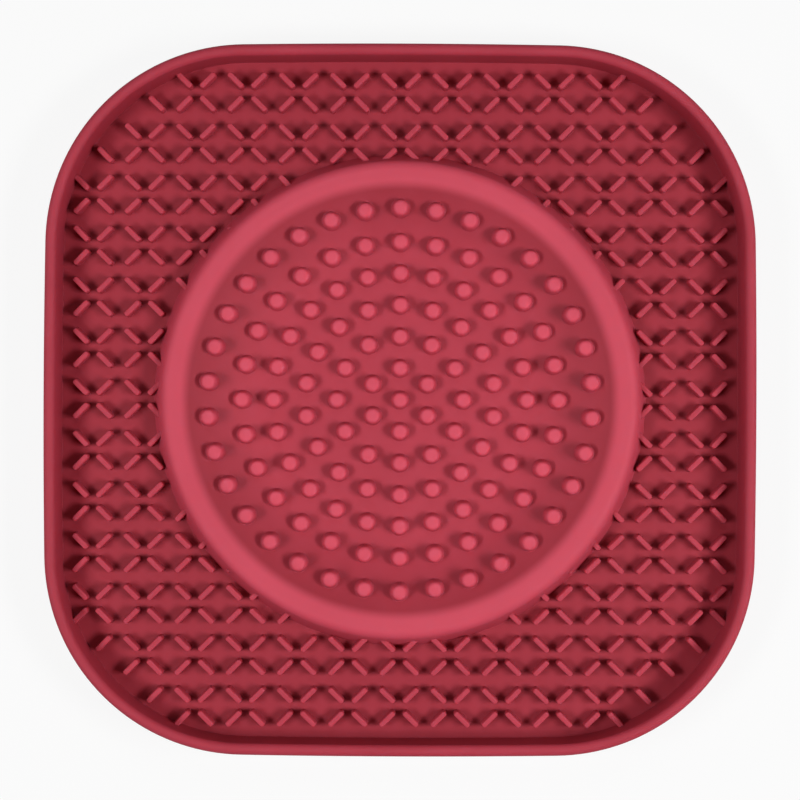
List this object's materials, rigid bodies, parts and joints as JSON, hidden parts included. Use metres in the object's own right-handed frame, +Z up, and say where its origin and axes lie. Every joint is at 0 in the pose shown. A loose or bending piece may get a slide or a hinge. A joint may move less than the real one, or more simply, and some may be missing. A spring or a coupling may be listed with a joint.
{
  "type": "lick mat",
  "caption": "Square moulded silicone lick mat for spreading pet food: a raised rim, a floor of slanted ribs and a round bowl with nubs and a rolled edge in the middle.",
  "frame": {"origin": "under the middle of the mat, on the surface that it rests on", "axes": "+Z up, -Y towards the front edge, +X to the right seen from the front"},
  "size_m": [0.254, 0.254, 0.019],
  "materials": {
    "silicone": "satin red silicone rubber"
  },
  "bodies": {
    "root": {"tray_floor": "silicone", "rim_wall": "silicone", "rim_corners": "silicone", "bowl_side": "silicone", "bowl_ring": "silicone", "centre_nub": "silicone", "nub_circle_1": "silicone", "nub_circle_2": "silicone", "nub_circle_3": "silicone", "nub_circle_4": "silicone", "nub_circle_5": "silicone", "nub_circle_6": "silicone", "rib_row_01": "silicone", "rib_row_02": "silicone", "rib_row_03": "silicone", "rib_row_04": "silicone", "rib_row_05": "silicone", "rib_row_06": "silicone", "rib_row_07": "silicone", "rib_row_08": "silicone", "rib_row_09": "silicone", "rib_row_10": "silicone", "rib_row_11": "silicone", "rib_row_12": "silicone", "rib_row_13": "silicone"}
  },
  "joints": []
}
